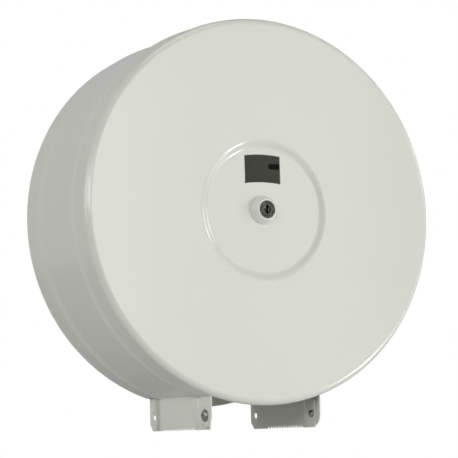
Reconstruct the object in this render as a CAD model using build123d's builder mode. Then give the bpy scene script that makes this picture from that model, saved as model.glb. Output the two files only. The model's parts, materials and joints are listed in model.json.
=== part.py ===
from build123d import *
import math
import os

# Jumbo roll toilet paper dispenser: a round drum of white powder coated sheet steel.
# The rolled wall and the rear pan stay on the washroom wall and carry the roll on a spindle.
# The front cover swings down about two rivets at its lower edge, once its cam lock is turned
# out of the keeper on the spindle's end. Paper leaves between two serrated plates below.
#
# Frame: millimetres, +Z up, the drum's axis along Y. Y = 0 is the wall that the pan rests on,
# the front faces -Y and +X is to the right of someone who stands in front of it.
# A size named "setback" is counted from the front face towards the wall.

# Drum
drum_radius = 152.0
drum_depth = 122.0
sheet = 1.0
bend = 1.0
seat_gap = 0.05
overrun = 1.0

# Cover
cover_band_depth = 29.0
cover_edge_radius = 5.0
rim_flare = 1.0
rim_flare_length = 6.0
seam_gap = 0.5
lip_overlap = 6.5
lip_clearance = 0.6
lip_end_gap = 3.0
recess_radius = 55.5
recess_slope_width = 6.3
recess_depth = 2.7
recess_bend = 2.5
window_width = 31.6
window_height = 21.8
window_crown = 1.2
window_centre_height = 31.8
window_corner = 0.8
window_edge_round = 0.4
mouth_front_setback = 6.2

# Wall ring and rear pan
wall_step = 0.8
rear_band_depth = 21.7
rear_flare_slope = 8.0
rear_flare_length = 4.0
pan_edge_radius = 2.5
pan_overlap = 3.0
plateau_radius = 44.0
plateau_rise = 3.0
plateau_slope = 4.0
wall_slot_width = 4.8
wall_slot_length = 18.0
wall_slot_spacing_x = 160.0
wall_slot_spacing_z = 105.8

# Tear brackets
mouth_width = 95.1
bracket_drop = 17.7
bracket_front_setback = 12.2
bracket_rear_gap = 4.0
joggle_depth = 1.5
joggle_run = 5.0
joggle_length = 14.5
rear_joggle_run = 9.0
rear_joggle_length = 12.0
joggle_bend = 6.0
bracket_chamfer = 5.2
bracket_corner = 0.8
notch_gap = 0.6
notch_height = 4.2
tooth_pitch = 4.2
tooth_depth = 2.2
tooth_tip = 0.4
tooth_gap_floor = 0.5
tooth_count = 14
teeth_from_edge = 22.0
spare_hole_from_edge = 8.2
weld_flange_length = 12.0
weld_flange_gap = 5.0

# Hinge
hinge_setback = 16.4
hinge_drop = 6.9
ear_radius = 9.4
ear_front_flare = 0.5
ear_rear_flare = 1.7
ear_flange_length = 11.0
rivet_radius = 2.4
running_clearance = 0.05
rivet_head_radius = 4.75
rivet_head_height = 2.2
rivet_head_edge = 0.5
rivet_tail_radius = 3.0
rivet_tail_length = 2.6
mandrel_radius = 1.2
mandrel_depth = 1.0
washer_radius = 4.1

# Spindle
spindle_radius = 22.0
spindle_wall = 1.2
base_flange_width = 14.0
base_flange_thickness = 1.5
collar_length = 14.0
collar_wall = 1.5
base_rivet_count = 4
base_rivet_radius = 2.0
base_rivet_head_radius = 4.0
base_rivet_head_height = 1.6
base_rivet_head_round = 1.1
base_rivet_tail_radius = 2.9
base_rivet_tail_height = 1.4
cap_setback = 13.2
cap_thickness = 1.5
grub_radius = 1.5
grub_socket_radius = 0.8
grub_socket_depth = 1.2
grub_sink = 0.2
grub_count = 3
keeper_slot_width = 7.6
keeper_slot_height = 21.0

# Lock
lock_tip_height = 3.6
escutcheon_base_radius = 11.5
escutcheon_base_edge = 0.8
escutcheon_tip_radius = 8.3
escutcheon_round = 0.8
lock_head_radius = 6.9
lock_head_thickness = 1.8
lock_head_bevel = 0.4
lock_body_radius = 6.0
lock_flat_distance = 5.0
lock_fit_gap = 0.1
lock_body_setback = 11.0
nut_across_flats = 16.0
nut_thickness = 3.0
nut_bevel = 0.5
lock_washer_radius = 9.5
lock_washer_thickness = 0.8
plug_radius = 4.2
plug_face_radius = 5.0
plug_face_thickness = 0.8
plug_end_setback = 12.4
keyway_width = 1.5
keyway_height = 6.4
keyway_depth = 9.8
wafer_count = 4
wafer_pitch = 1.9
wafer_first_depth = 2.8
wafer_thickness = 0.7
wafer_width = 3.4
wafer_height = 7.6
wafer_window_width = 1.7
wafer_window_height = 4.8
plug_neck_radius = 3.4
tail_width = 4.4
clip_radius = 5.4
clip_thickness = 0.6
clip_mouth = 4.4
cam_setback = 16.0
cam_thickness = 2.0
cam_length = 18.0
cam_width = 6.4
cam_screw_radius = 1.25
cam_screw_length = 5.0
cam_screw_head_radius = 2.6
cam_screw_head_height = 1.6
cam_screw_slot_width = 0.8
cam_screw_slot_depth = 0.8

# Places that follow from the sizes above
front_y = -drum_depth
rim_y = front_y + cover_band_depth
recess_y = front_y + recess_depth
recess_back_y = recess_y + sheet
wall_radius = drum_radius - wall_step
wall_inner_radius = wall_radius - sheet
wall_front_y = rim_y + seam_gap
wall_rear_y = -rear_band_depth
flare_front_y = wall_rear_y - rear_flare_length - rear_flare_slope
lip_radius = wall_inner_radius - lip_clearance
lip_rear_y = wall_front_y + lip_overlap
pan_radius = wall_radius - seat_gap
plate_inner_x = mouth_width / 2
plate_outer_x = plate_inner_x + sheet
plate_bottom_z = -(drum_radius + bracket_drop)
plate_front_y = front_y + bracket_front_setback
plate_rear_y = -bracket_rear_gap
hinge_y = front_y + hinge_setback
hinge_z = -(drum_radius + hinge_drop)
spare_hole_y = plate_rear_y - spare_hole_from_edge
ear_rear_y = hinge_y + ear_radius + ear_rear_flare
plateau_y = -plateau_rise - sheet
base_front_y = plateau_y - base_flange_thickness
base_flange_radius = spindle_radius + base_flange_width
base_rivet_circle_radius = spindle_radius + base_flange_width / 2
cap_y = front_y + cap_setback
cap_back_y = cap_y + cap_thickness
collar_radius = spindle_radius - spindle_wall - seat_gap
lock_tip_y = front_y - lock_tip_height
lock_head_back_y = lock_tip_y + lock_head_thickness
lock_body_end_y = front_y + lock_body_setback
nut_y = recess_back_y + lock_washer_thickness
plug_end_y = front_y + plug_end_setback
cam_y = front_y + cam_setback
tail_end_y = cam_y + cam_thickness


def drop_on_circle(radius, x):
    # How far below the axis a circle of this radius lies at the sideways distance x
    return math.sqrt(radius**2 - x**2)


def mouth_outline(half_width):
    # The paper mouth seen from the front, from inside the drum down past its lowest point
    with Locations((0, -drop_on_circle(drum_radius - cover_edge_radius, half_width))):
        Rectangle(2 * half_width, drum_radius, align=(Align.CENTER, Align.MAX))


def curved_flange(outer_radius, start_x, length, from_y, to_y):
    # A strip of sheet that follows the drum sideways from start_x, for the part in work
    start_angle = math.degrees(math.asin(start_x / outer_radius))
    sweep = math.degrees(length / outer_radius)
    with BuildSketch(Plane.XY.rotated((0, 90 - start_angle - sweep, 0))) as strip_end:
        with Locations((outer_radius, from_y)):
            Rectangle(sheet, to_y - from_y, align=(Align.MAX, Align.MIN))
    revolve(strip_end.sketch, axis=Axis.Y, revolution_arc=sweep)


def lock_hole(gap):
    # The round hole with two flats that keeps the lock from turning
    Circle(lock_body_radius + gap)
    Rectangle(2 * (lock_flat_distance + gap), 2 * (lock_body_radius + gap), mode=Mode.INTERSECT)


os.makedirs("parts", exist_ok=True)


def finish(builder, name):
    # Label a finished piece and write its file
    builder.part.label = name
    export_step(builder.part, f"parts/{name}.step")


# Back pan: a flat disc against the wall with a shallow rim, a raised middle that leaves room
# for the ends of the spindle's rivets, slots for the wall screws and no rim over the mouth
with BuildPart() as back_pan:
    with BuildSketch(Plane.XY):
        with BuildLine():
            FilletPolyline(
                (0, -plateau_rise),
                (plateau_radius, -plateau_rise),
                (plateau_radius + plateau_slope, 0),
                (pan_radius, 0),
                (pan_radius, wall_rear_y - pan_overlap),
                radius=[bend + sheet, bend, pan_edge_radius],
            )
            offset(amount=sheet, side=Side.RIGHT)
        make_face()
    revolve(axis=Axis.Y)
    with BuildSketch(Plane.XZ.offset(sheet)):
        mouth_outline(plate_outer_x + seat_gap)
    extrude(amount=drum_depth, mode=Mode.SUBTRACT)
    with BuildSketch(Plane.XZ):
        with GridLocations(wall_slot_spacing_x, wall_slot_spacing_z, 2, 2):
            SlotOverall(wall_slot_length, wall_slot_width)
        with PolarLocations(base_rivet_circle_radius, base_rivet_count):
            Circle(base_rivet_radius + seat_gap)
    extrude(amount=sheet + plateau_rise + overrun, mode=Mode.SUBTRACT)
finish(back_pan, "back_pan")

# Drum wall: a rolled strip, open over the mouth, widened at the rear so the pan slips inside
with BuildPart() as drum_wall:
    with BuildSketch(Plane.XY):
        with BuildLine():
            FilletPolyline(
                (wall_radius, wall_front_y),
                (wall_radius, flare_front_y),
                (wall_radius + sheet, flare_front_y + rear_flare_slope),
                (wall_radius + sheet, wall_rear_y),
                radius=[bend + sheet, bend + sheet],
            )
            offset(amount=sheet, side=Side.LEFT)
        make_face()
    revolve(axis=Axis.Y)
    with BuildSketch(Plane.XZ):
        mouth_outline(plate_outer_x + seat_gap)
    extrude(amount=drum_depth, mode=Mode.SUBTRACT)
finish(drum_wall, "drum_wall")

# Tear bracket: a plate along each side of the mouth. Its ends are joggled inwards for the
# hinge ear, its lower edge is serrated, and a curved flange is welded inside the drum wall
weld_flange_radius = wall_inner_radius - seat_gap
plate_top_z = -drop_on_circle(weld_flange_radius - sheet, plate_inner_x)
notch_y = ear_rear_y + notch_gap
notch_z = -drop_on_circle(wall_radius, plate_outer_x) - notch_height
tooth_flank = (tooth_pitch - tooth_tip - tooth_gap_floor) / 2
with BuildPart() as right_tear_bracket:
    with BuildSketch(Plane.XY.offset(plate_bottom_z)):
        with BuildLine():
            FilletPolyline(
                (plate_outer_x - joggle_depth, plate_front_y),
                (plate_outer_x - joggle_depth, plate_front_y + joggle_length),
                (plate_outer_x, plate_front_y + joggle_length + joggle_run),
                (plate_outer_x, plate_rear_y - rear_joggle_length - rear_joggle_run),
                (plate_outer_x - joggle_depth, plate_rear_y - rear_joggle_length),
                (plate_outer_x - joggle_depth, plate_rear_y),
                radius=joggle_bend,
            )
            offset(amount=sheet, side=Side.LEFT)
        make_face()
    extrude(amount=plate_top_z - plate_bottom_z)
    with BuildSketch(Plane.YZ):
        with BuildLine():
            FilletPolyline(
                (plate_front_y, notch_z),
                (plate_front_y, plate_bottom_z),
                (plate_rear_y - bracket_chamfer, plate_bottom_z),
                (plate_rear_y, plate_bottom_z + bracket_chamfer),
                (plate_rear_y, plate_top_z),
                (notch_y, plate_top_z),
                (notch_y, notch_z),
                radius=bracket_corner,
                close=True,
            )
        make_face()
        for tooth in range(tooth_count):
            gap_start_y = plate_front_y + teeth_from_edge + tooth * tooth_pitch
            with BuildLine():
                Polyline(
                    (gap_start_y, plate_bottom_z),
                    (gap_start_y + tooth_flank, plate_bottom_z + tooth_depth),
                    (gap_start_y + tooth_flank + tooth_gap_floor, plate_bottom_z + tooth_depth),
                    (gap_start_y + tooth_pitch - tooth_tip, plate_bottom_z),
                    close=True,
                )
            make_face(mode=Mode.SUBTRACT)
        with Locations((hinge_y, hinge_z), (spare_hole_y, hinge_z)):
            Circle(rivet_radius + seat_gap, mode=Mode.SUBTRACT)
    extrude(amount=plate_outer_x + overrun, mode=Mode.INTERSECT)
    curved_flange(
        weld_flange_radius,
        plate_inner_x + sheet / 2,
        weld_flange_length,
        lip_rear_y + weld_flange_gap,
        flare_front_y - bend,
    )
finish(right_tear_bracket, "right_tear_bracket")

with BuildPart() as left_tear_bracket:
    mirror(right_tear_bracket.part, about=Plane.YZ)
finish(left_tear_bracket, "left_tear_bracket")

# Spindle base: a flanged collar riveted to the raised middle of the pan
with BuildPart() as spindle_base:
    with BuildSketch(Plane.XZ.offset(-plateau_y)):
        Circle(base_flange_radius)
    extrude(amount=base_flange_thickness)
    with BuildSketch(Plane.XZ.offset(-base_front_y)):
        Circle(collar_radius)
    extrude(amount=collar_length)
    with BuildSketch(Plane.XZ.offset(-plateau_y)):
        Circle(collar_radius - collar_wall)
        with PolarLocations(base_rivet_circle_radius, base_rivet_count):
            Circle(base_rivet_radius + seat_gap)
    extrude(amount=base_flange_thickness + collar_length, mode=Mode.SUBTRACT)

# Spindle tube: the smooth tube that the roll's core turns on
with BuildPart() as spindle_tube:
    with BuildSketch(Plane.XZ.offset(-base_front_y)):
        Circle(spindle_radius)
        Circle(spindle_radius - spindle_wall, mode=Mode.SUBTRACT)
    extrude(amount=base_front_y - cap_back_y)

# Spindle cap: closes the tube's front end and is the keeper that the lock's cam turns behind
with BuildPart() as spindle_cap:
    with BuildSketch(Plane.XZ.offset(-cap_back_y)):
        Circle(spindle_radius)
    extrude(amount=cap_thickness)
    with BuildSketch(Plane.XZ.offset(-cap_back_y)):
        Circle(collar_radius)
        Circle(collar_radius - collar_wall, mode=Mode.SUBTRACT)
    extrude(amount=-collar_length)
    with BuildSketch(Plane.XZ.offset(-cap_back_y)):
        SlotOverall(keeper_slot_height, keeper_slot_width, rotation=90)
    extrude(amount=cap_thickness, mode=Mode.SUBTRACT)

# Grub screws: a ring of them at each end holds the tube on the collars, sunk below its surface
grub_planes = [
    Plane((0, row_y, 0)).rotated((0, turn * 360 / grub_count, 0))
    for row_y in (base_front_y - collar_length / 2, cap_back_y + collar_length / 2)
    for turn in range(grub_count)
]
for carrier in (spindle_base, spindle_tube, spindle_cap):
    with carrier:
        with BuildSketch(*grub_planes):
            Circle(grub_radius + seat_gap)
        extrude(amount=spindle_radius + overrun, mode=Mode.SUBTRACT)
finish(spindle_base, "spindle_base")
finish(spindle_tube, "spindle_tube")
finish(spindle_cap, "spindle_cap")

with BuildPart() as spindle_grub_screws:
    with BuildSketch(*[plane.offset(collar_radius - collar_wall) for plane in grub_planes]):
        Circle(grub_radius)
    extrude(amount=collar_wall + seat_gap + spindle_wall - grub_sink)
    with BuildSketch(*[plane.offset(spindle_radius - grub_sink) for plane in grub_planes]):
        RegularPolygon(grub_socket_radius, 6)
    extrude(amount=-grub_socket_depth, mode=Mode.SUBTRACT)
finish(spindle_grub_screws, "spindle_grub_screws")

# Spindle rivets: domed heads on the base's flange, their set ends inside the raised middle
with BuildPart() as spindle_rivets:
    with BuildSketch(Plane.XZ.offset(-base_front_y)):
        with PolarLocations(base_rivet_circle_radius, base_rivet_count):
            Circle(base_rivet_head_radius)
    extrude(amount=base_rivet_head_height)
    rivet_crowns = spindle_rivets.faces().sort_by(Axis.Y)[:base_rivet_count].edges()
    fillet(rivet_crowns, radius=base_rivet_head_round)
    with BuildSketch(Plane.XZ.offset(-base_front_y)):
        with PolarLocations(base_rivet_circle_radius, base_rivet_count):
            Circle(base_rivet_radius)
    extrude(amount=-(base_flange_thickness + sheet))
    with BuildSketch(Plane.XZ.offset(plateau_rise)):
        with PolarLocations(base_rivet_circle_radius, base_rivet_count):
            Circle(base_rivet_tail_radius)
    extrude(amount=-base_rivet_tail_height)
finish(spindle_rivets, "spindle_rivets")

# Cover shell: a pressed disc with a sunk centre, a rounded edge, a band with a rolled rim and
# a lip that nests in the drum wall. The sight window is open, the mouth cuts band and lip
with BuildPart() as cover_shell:
    with BuildSketch(Plane.XY):
        with BuildLine():
            FilletPolyline(
                (0, recess_y),
                (recess_radius - recess_slope_width, recess_y),
                (recess_radius, front_y),
                (drum_radius, front_y),
                (drum_radius, rim_y - rim_flare_length),
                (drum_radius + rim_flare, rim_y),
                (lip_radius, rim_y),
                (lip_radius, lip_rear_y),
                radius=[recess_bend, recess_bend + sheet, cover_edge_radius, bend + sheet, 0, bend],
            )
            offset(amount=sheet, side=Side.LEFT)
        make_face()
    revolve(axis=Axis.Y)
    with BuildSketch(Plane.XZ.offset(-recess_back_y)):
        lock_hole(lock_fit_gap)
        with BuildLine():
            low_z = window_centre_height - window_height / 2
            high_z = window_centre_height + window_height / 2
            SagittaArc((-window_width / 2, high_z), (window_width / 2, high_z), -window_crown)
            Line((window_width / 2, high_z), (window_width / 2, low_z))
            SagittaArc((-window_width / 2, low_z), (window_width / 2, low_z), -window_crown)
            Line((-window_width / 2, low_z), (-window_width / 2, high_z))
        window_face = make_face()
        fillet(window_face.vertices(), radius=window_corner)
    extrude(amount=sheet + overrun, mode=Mode.SUBTRACT)
    face_edges = cover_shell.edges().filter_by_position(Axis.Y, recess_y, recess_y)
    window_edges = face_edges.filter_by_position(Axis.Z, low_z - window_crown, high_z + window_crown)
    fillet(window_edges, radius=window_edge_round)
    with BuildSketch(Plane.XZ.offset(-front_y - mouth_front_setback)):
        mouth_outline(plate_outer_x + seat_gap)
    extrude(amount=-drum_depth, mode=Mode.SUBTRACT)
    with BuildSketch(Plane.XZ.offset(-rim_y)):
        mouth_outline(plate_outer_x + lip_end_gap)
    extrude(amount=-drum_depth, mode=Mode.SUBTRACT)
finish(cover_shell, "cover_shell")

# Hinge ear: a round ended tab outside the bracket's joggled end, with a curved flange that is
# welded inside the cover's band
ear_flange_radius = drum_radius - sheet - seat_gap
ear_top_z = -drop_on_circle(ear_flange_radius - sheet, plate_inner_x)
with BuildPart() as right_hinge_ear:
    with BuildSketch(Plane.YZ.offset(plate_inner_x)):
        with BuildLine():
            Polyline(
                (hinge_y - ear_radius - ear_front_flare, ear_top_z),
                (hinge_y - ear_radius, hinge_z),
                (hinge_y + ear_radius, hinge_z),
                (ear_rear_y, ear_top_z),
                close=True,
            )
        make_face()
        with Locations((hinge_y, hinge_z)):
            Circle(ear_radius)
            Circle(rivet_radius + running_clearance, mode=Mode.SUBTRACT)
    extrude(amount=sheet)
    curved_flange(
        ear_flange_radius,
        plate_inner_x + sheet / 2,
        ear_flange_length,
        hinge_y - ear_radius,
        hinge_y + ear_radius,
    )
finish(right_hinge_ear, "right_hinge_ear")

with BuildPart() as left_hinge_ear:
    mirror(right_hinge_ear.part, about=Plane.YZ)
finish(left_hinge_ear, "left_hinge_ear")

# Hinge rivets: a domed head with the mandrel's hole outside the ear, a set tail inside
hinge_plane = Plane((0, hinge_y, hinge_z))
hinge_axis = Axis((0, hinge_y, hinge_z), (1, 0, 0))
rivet_seat_x = plate_outer_x + running_clearance
rivet_tip_x = rivet_seat_x + rivet_head_height
rivet_back_x = plate_inner_x - joggle_depth
with BuildPart() as right_hinge_rivet:
    with BuildSketch(hinge_plane):
        with BuildLine():
            Polyline(
                (rivet_tip_x, mandrel_radius),
                (rivet_tip_x - mandrel_depth, mandrel_radius),
                (rivet_tip_x - mandrel_depth, 0),
                (rivet_back_x - rivet_tail_length, 0),
                (rivet_back_x - rivet_tail_length, mandrel_radius),
                (rivet_back_x - rivet_tail_length / 2, rivet_tail_radius),
                (rivet_back_x, rivet_tail_radius),
                (rivet_back_x, rivet_radius),
                (rivet_seat_x, rivet_radius),
                (rivet_seat_x, rivet_head_radius),
                (rivet_seat_x + rivet_head_edge, rivet_head_radius),
            )
            TangentArc(
                (rivet_seat_x + rivet_head_edge, rivet_head_radius),
                (rivet_tip_x, mandrel_radius),
                tangent=(1, -1),
            )
        make_face()
    revolve(axis=hinge_axis)
finish(right_hinge_rivet, "right_hinge_rivet")

with BuildPart() as left_hinge_rivet:
    mirror(right_hinge_rivet.part, about=Plane.YZ)
finish(left_hinge_rivet, "left_hinge_rivet")

# Hinge washers: one thin plastic ring on each rivet between the bracket and the ear
with BuildPart() as hinge_washers:
    with BuildSketch(Plane.YZ.offset(plate_outer_x - joggle_depth)):
        with Locations((hinge_y, hinge_z)):
            Circle(washer_radius)
            Circle(rivet_radius + seat_gap, mode=Mode.SUBTRACT)
    extrude(amount=joggle_depth - sheet - running_clearance)
    mirror(about=Plane.YZ)
finish(hinge_washers, "hinge_washers")

# Lock escutcheon: the white collar that stands on the sunk centre around the lock
with BuildPart() as lock_escutcheon:
    with BuildSketch(Plane.XY):
        with BuildLine():
            FilletPolyline(
                (lock_body_radius + lock_fit_gap, recess_y),
                (escutcheon_base_radius, recess_y),
                (escutcheon_base_radius, recess_y - escutcheon_base_edge),
                (escutcheon_tip_radius, lock_tip_y),
                (lock_head_radius + lock_fit_gap, lock_tip_y),
                (lock_head_radius + lock_fit_gap, lock_head_back_y),
                (lock_body_radius + lock_fit_gap, lock_head_back_y),
                radius=[0, 0, escutcheon_base_edge, escutcheon_round, 0, 0, 0],
                close=True,
            )
        make_face()
    revolve(axis=Axis.Y)
finish(lock_escutcheon, "lock_escutcheon")

# Lock housing: a bevelled head in the escutcheon and a flatted, threaded body with the plug's bore
with BuildPart() as lock_housing:
    with BuildSketch(Plane.XZ.offset(-lock_head_back_y)):
        Circle(lock_head_radius)
    extrude(amount=lock_head_thickness)
    chamfer(lock_housing.edges().group_by(Axis.Y)[0], length=lock_head_bevel)
    with BuildSketch(Plane.XZ.offset(-lock_head_back_y)):
        lock_hole(0)
    extrude(amount=lock_head_back_y - lock_body_end_y)
    with BuildSketch(Plane.XZ.offset(-lock_tip_y)):
        Circle(plug_radius + running_clearance)
    extrude(amount=lock_tip_y - lock_body_end_y, mode=Mode.SUBTRACT)
    with BuildSketch(Plane.XZ.offset(-lock_tip_y)):
        Circle(plug_face_radius + running_clearance)
    extrude(amount=-(plug_face_thickness + running_clearance), mode=Mode.SUBTRACT)
finish(lock_housing, "lock_housing")

# Lock washer and nut: they clamp the lock and its escutcheon to the cover from inside
with BuildPart() as lock_washer:
    with BuildSketch(Plane.XZ.offset(-recess_back_y)):
        Circle(lock_washer_radius)
        Circle(lock_body_radius + lock_fit_gap, mode=Mode.SUBTRACT)
    extrude(amount=-lock_washer_thickness)
finish(lock_washer, "lock_washer")

with BuildPart() as lock_nut:
    with BuildSketch(Plane.XZ.offset(-nut_y)):
        RegularPolygon(nut_across_flats / 2, 6, major_radius=False)
        Circle(lock_body_radius + seat_gap, mode=Mode.SUBTRACT)
    extrude(amount=-nut_thickness)
    chamfer(lock_nut.edges().group_by(Axis.Y)[-1].filter_by(GeomType.LINE), length=nut_bevel)
finish(lock_nut, "lock_nut")

# Lock plug: the keyed barrel. Its face sits flush in the housing, slots across it take the
# wafers, a groove takes the clip, and its neck ends in a shoulder and a square for the cam
with BuildPart() as lock_plug:
    with BuildSketch(Plane.XZ.offset(-lock_tip_y)):
        Circle(plug_face_radius)
    extrude(amount=-plug_face_thickness)
    with BuildSketch(Plane.XZ.offset(-lock_tip_y)):
        Circle(plug_radius)
    extrude(amount=lock_tip_y - plug_end_y)
    with BuildSketch(Plane.XZ.offset(-lock_body_end_y - running_clearance)):
        Circle(plug_radius)
        Circle(plug_neck_radius, mode=Mode.SUBTRACT)
    extrude(amount=-(clip_thickness + 2 * running_clearance), mode=Mode.SUBTRACT)
    with BuildSketch(Plane.XZ.offset(-plug_end_y)):
        Circle(plug_neck_radius)
    extrude(amount=plug_end_y - cam_y)
    with BuildSketch(Plane.XZ.offset(-cam_y)):
        Rectangle(tail_width, tail_width)
    extrude(amount=-cam_thickness)
    with BuildSketch(Plane.XZ.offset(-tail_end_y)):
        Circle(cam_screw_radius)
    extrude(amount=cam_screw_length, mode=Mode.SUBTRACT)
    with BuildSketch(Plane.XZ.offset(-lock_tip_y)):
        Rectangle(keyway_width, keyway_height)
    extrude(amount=-keyway_depth, mode=Mode.SUBTRACT)
    for wafer in range(wafer_count):
        wafer_y = lock_tip_y + wafer_first_depth + wafer * wafer_pitch
        with BuildSketch(Plane.XZ.offset(-wafer_y)):
            Rectangle(wafer_width + 2 * running_clearance, 2 * plug_radius)
        extrude(amount=-(wafer_thickness + 2 * running_clearance), mode=Mode.SUBTRACT)
finish(lock_plug, "lock_plug")

# Lock wafers: thin brass frames that the key lines up inside the plug
with BuildPart() as lock_wafers:
    for wafer in range(wafer_count):
        wafer_y = lock_tip_y + wafer_first_depth + running_clearance + wafer * wafer_pitch
        with BuildSketch(Plane.XZ.offset(-wafer_y)):
            Rectangle(wafer_width, wafer_height)
            Rectangle(wafer_window_width, wafer_window_height, mode=Mode.SUBTRACT)
        extrude(amount=-wafer_thickness)
finish(lock_wafers, "lock_wafers")

# Plug clip: the open spring ring behind the housing that keeps the plug in its bore
with BuildPart() as plug_clip:
    with BuildSketch(Plane.XZ.offset(-lock_body_end_y - 2 * running_clearance)):
        Circle(clip_radius)
        Circle(plug_neck_radius + running_clearance, mode=Mode.SUBTRACT)
        with Locations((0, -clip_radius)):
            Rectangle(clip_mouth, 2 * clip_radius, mode=Mode.SUBTRACT)
    extrude(amount=-clip_thickness)
finish(plug_clip, "plug_clip")

# Lock cam: upright it passes the keeper's slot, a quarter turn puts its ends behind the keeper
with BuildPart() as lock_cam:
    with BuildSketch(Plane.XZ.offset(-cam_y)):
        SlotOverall(cam_length, cam_width, rotation=90)
        Rectangle(
            tail_width + 2 * seat_gap,
            tail_width + 2 * seat_gap,
            mode=Mode.SUBTRACT,
        )
    extrude(amount=-cam_thickness)
finish(lock_cam, "lock_cam")

# Cam screw: its slotted head holds the cam on the plug's tail
with BuildPart() as cam_screw:
    with BuildSketch(Plane.XZ.offset(-tail_end_y)):
        Circle(cam_screw_head_radius)
    extrude(amount=-cam_screw_head_height)
    with BuildSketch(Plane.XZ.offset(-tail_end_y)):
        Circle(cam_screw_radius - seat_gap)
    extrude(amount=cam_screw_length - seat_gap)
    with BuildSketch(Plane.XZ.offset(-tail_end_y - cam_screw_head_height)):
        Rectangle(2 * cam_screw_head_radius, cam_screw_slot_width)
    extrude(amount=cam_screw_slot_depth, mode=Mode.SUBTRACT)
finish(cam_screw, "cam_screw")
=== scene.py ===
# %% [markdown]
# # Jumbo roll toilet paper dispenser
# The object is a drum of white powder coated sheet steel that hangs on a washroom wall. A pan
# and a rolled ring stay on the wall, a cover with a cam lock swings down on two rivets, and the
# paper leaves between two serrated plates. The frame holds every piece at its real size. This
# script gives each one the surface and the small rounded edges that light needs to find.

# %% Load the frame
import json
import math

import bmesh
import bpy
from mathutils import Matrix, Vector


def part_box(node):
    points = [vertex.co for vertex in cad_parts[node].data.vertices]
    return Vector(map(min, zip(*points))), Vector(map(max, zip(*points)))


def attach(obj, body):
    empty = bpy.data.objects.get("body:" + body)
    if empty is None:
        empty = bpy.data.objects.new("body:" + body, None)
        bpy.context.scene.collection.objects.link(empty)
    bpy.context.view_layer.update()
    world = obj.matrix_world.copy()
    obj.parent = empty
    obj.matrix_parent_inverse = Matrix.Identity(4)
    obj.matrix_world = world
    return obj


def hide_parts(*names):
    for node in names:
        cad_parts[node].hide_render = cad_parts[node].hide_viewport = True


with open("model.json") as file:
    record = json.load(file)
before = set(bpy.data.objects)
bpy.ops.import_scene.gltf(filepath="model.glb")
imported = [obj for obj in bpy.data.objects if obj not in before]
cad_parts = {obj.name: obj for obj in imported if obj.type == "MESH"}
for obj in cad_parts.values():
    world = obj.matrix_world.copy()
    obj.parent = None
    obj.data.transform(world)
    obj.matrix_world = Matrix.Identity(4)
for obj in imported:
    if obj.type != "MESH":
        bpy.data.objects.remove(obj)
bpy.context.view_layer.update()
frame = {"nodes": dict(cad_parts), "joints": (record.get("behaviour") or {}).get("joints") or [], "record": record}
MM = 0.001
bodies = frame["record"]["behaviour"]["bodies"]
body_of_node = {node: body for body, nodes in bodies.items() for node in nodes}
slot_of_node = {part["node"]: part["material_slot"] for part in frame["record"]["subparts"]}

# %% [markdown]
# ## Objects and nodes in short
# Every object is linked into the scene as soon as it is made. Shader trees and Geometry Nodes
# trees are built in the same way: a node is added, and each of its inputs is either set to a
# value or linked to another node's output. Small helpers say each of these in one line, which
# keeps the script below readable.


# %% Helpers
def new_object(name, data):
    """A new object that is linked into the scene."""
    made = bpy.data.objects.new(name, data)
    bpy.context.scene.collection.objects.link(made)
    return made


def add(tree, kind, inputs=None, **settings):
    """Add a node. An input given as a socket is linked, and any other value is set."""
    node = tree.nodes.new(kind)
    for name, value in settings.items():
        setattr(node, name, value)
    for name, value in (inputs or {}).items():
        if isinstance(value, bpy.types.NodeSocket):
            tree.links.new(value, node.inputs[name])
        else:
            node.inputs[name].default_value = value
    return node


def maths(tree, operation, *values):
    """The result of a math node. Each value is a number or a socket."""
    return add(tree, "ShaderNodeMath", dict(enumerate(values)), operation=operation).outputs[0]


# %% [markdown]
# ## Camera
# A product picture of a round object lives on its ellipses, so the camera is placed by distance
# and heading and not by eye. It stands 1.7 m away, left of the drum's axis and a little below
# it, with a long lens. Its three axes are worked out from a heading, a rise and a small roll.

# %% Camera
camera_place = Vector((-0.7449, -1.4681, -0.1737))
camera_heading = math.radians(27.89)
camera_rise = math.radians(5.916)
camera_roll = math.radians(-1.484)
camera_lens = 155.83

forward = Vector((
    math.sin(camera_heading) * math.cos(camera_rise),
    math.cos(camera_heading) * math.cos(camera_rise),
    math.sin(camera_rise),
))
level_right = Vector((math.cos(camera_heading), -math.sin(camera_heading), 0))
level_up = level_right.cross(forward)
right = math.cos(camera_roll) * level_right + math.sin(camera_roll) * level_up
up = right.cross(forward)

camera = new_object("camera", bpy.data.cameras.new("camera"))
camera.data.sensor_width = 36
camera.data.lens = camera_lens
camera_axes = Matrix((right, up, -forward)).transposed().to_4x4()
camera.matrix_world = Matrix.Translation(camera_place) @ camera_axes
bpy.context.scene.camera = camera
print("camera to drum", round(camera_place.length, 3), "m")

# %% [markdown]
# ## Studio
# The picture has a plain white ground and soft light. A white ground should not come from strong
# lamps, because they would wash out the coat. The world is therefore white only for rays that
# come straight from the camera or through a clear body. In a reflection it is dark on the
# camera's side and pale behind the object, as a studio is, and it lights nothing by itself. Large
# area lamps make the broad gradients on the drum, and compact ones the thin lights on its bends.

# %% World
world_front = 0.0
world_back = 0.53

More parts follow.
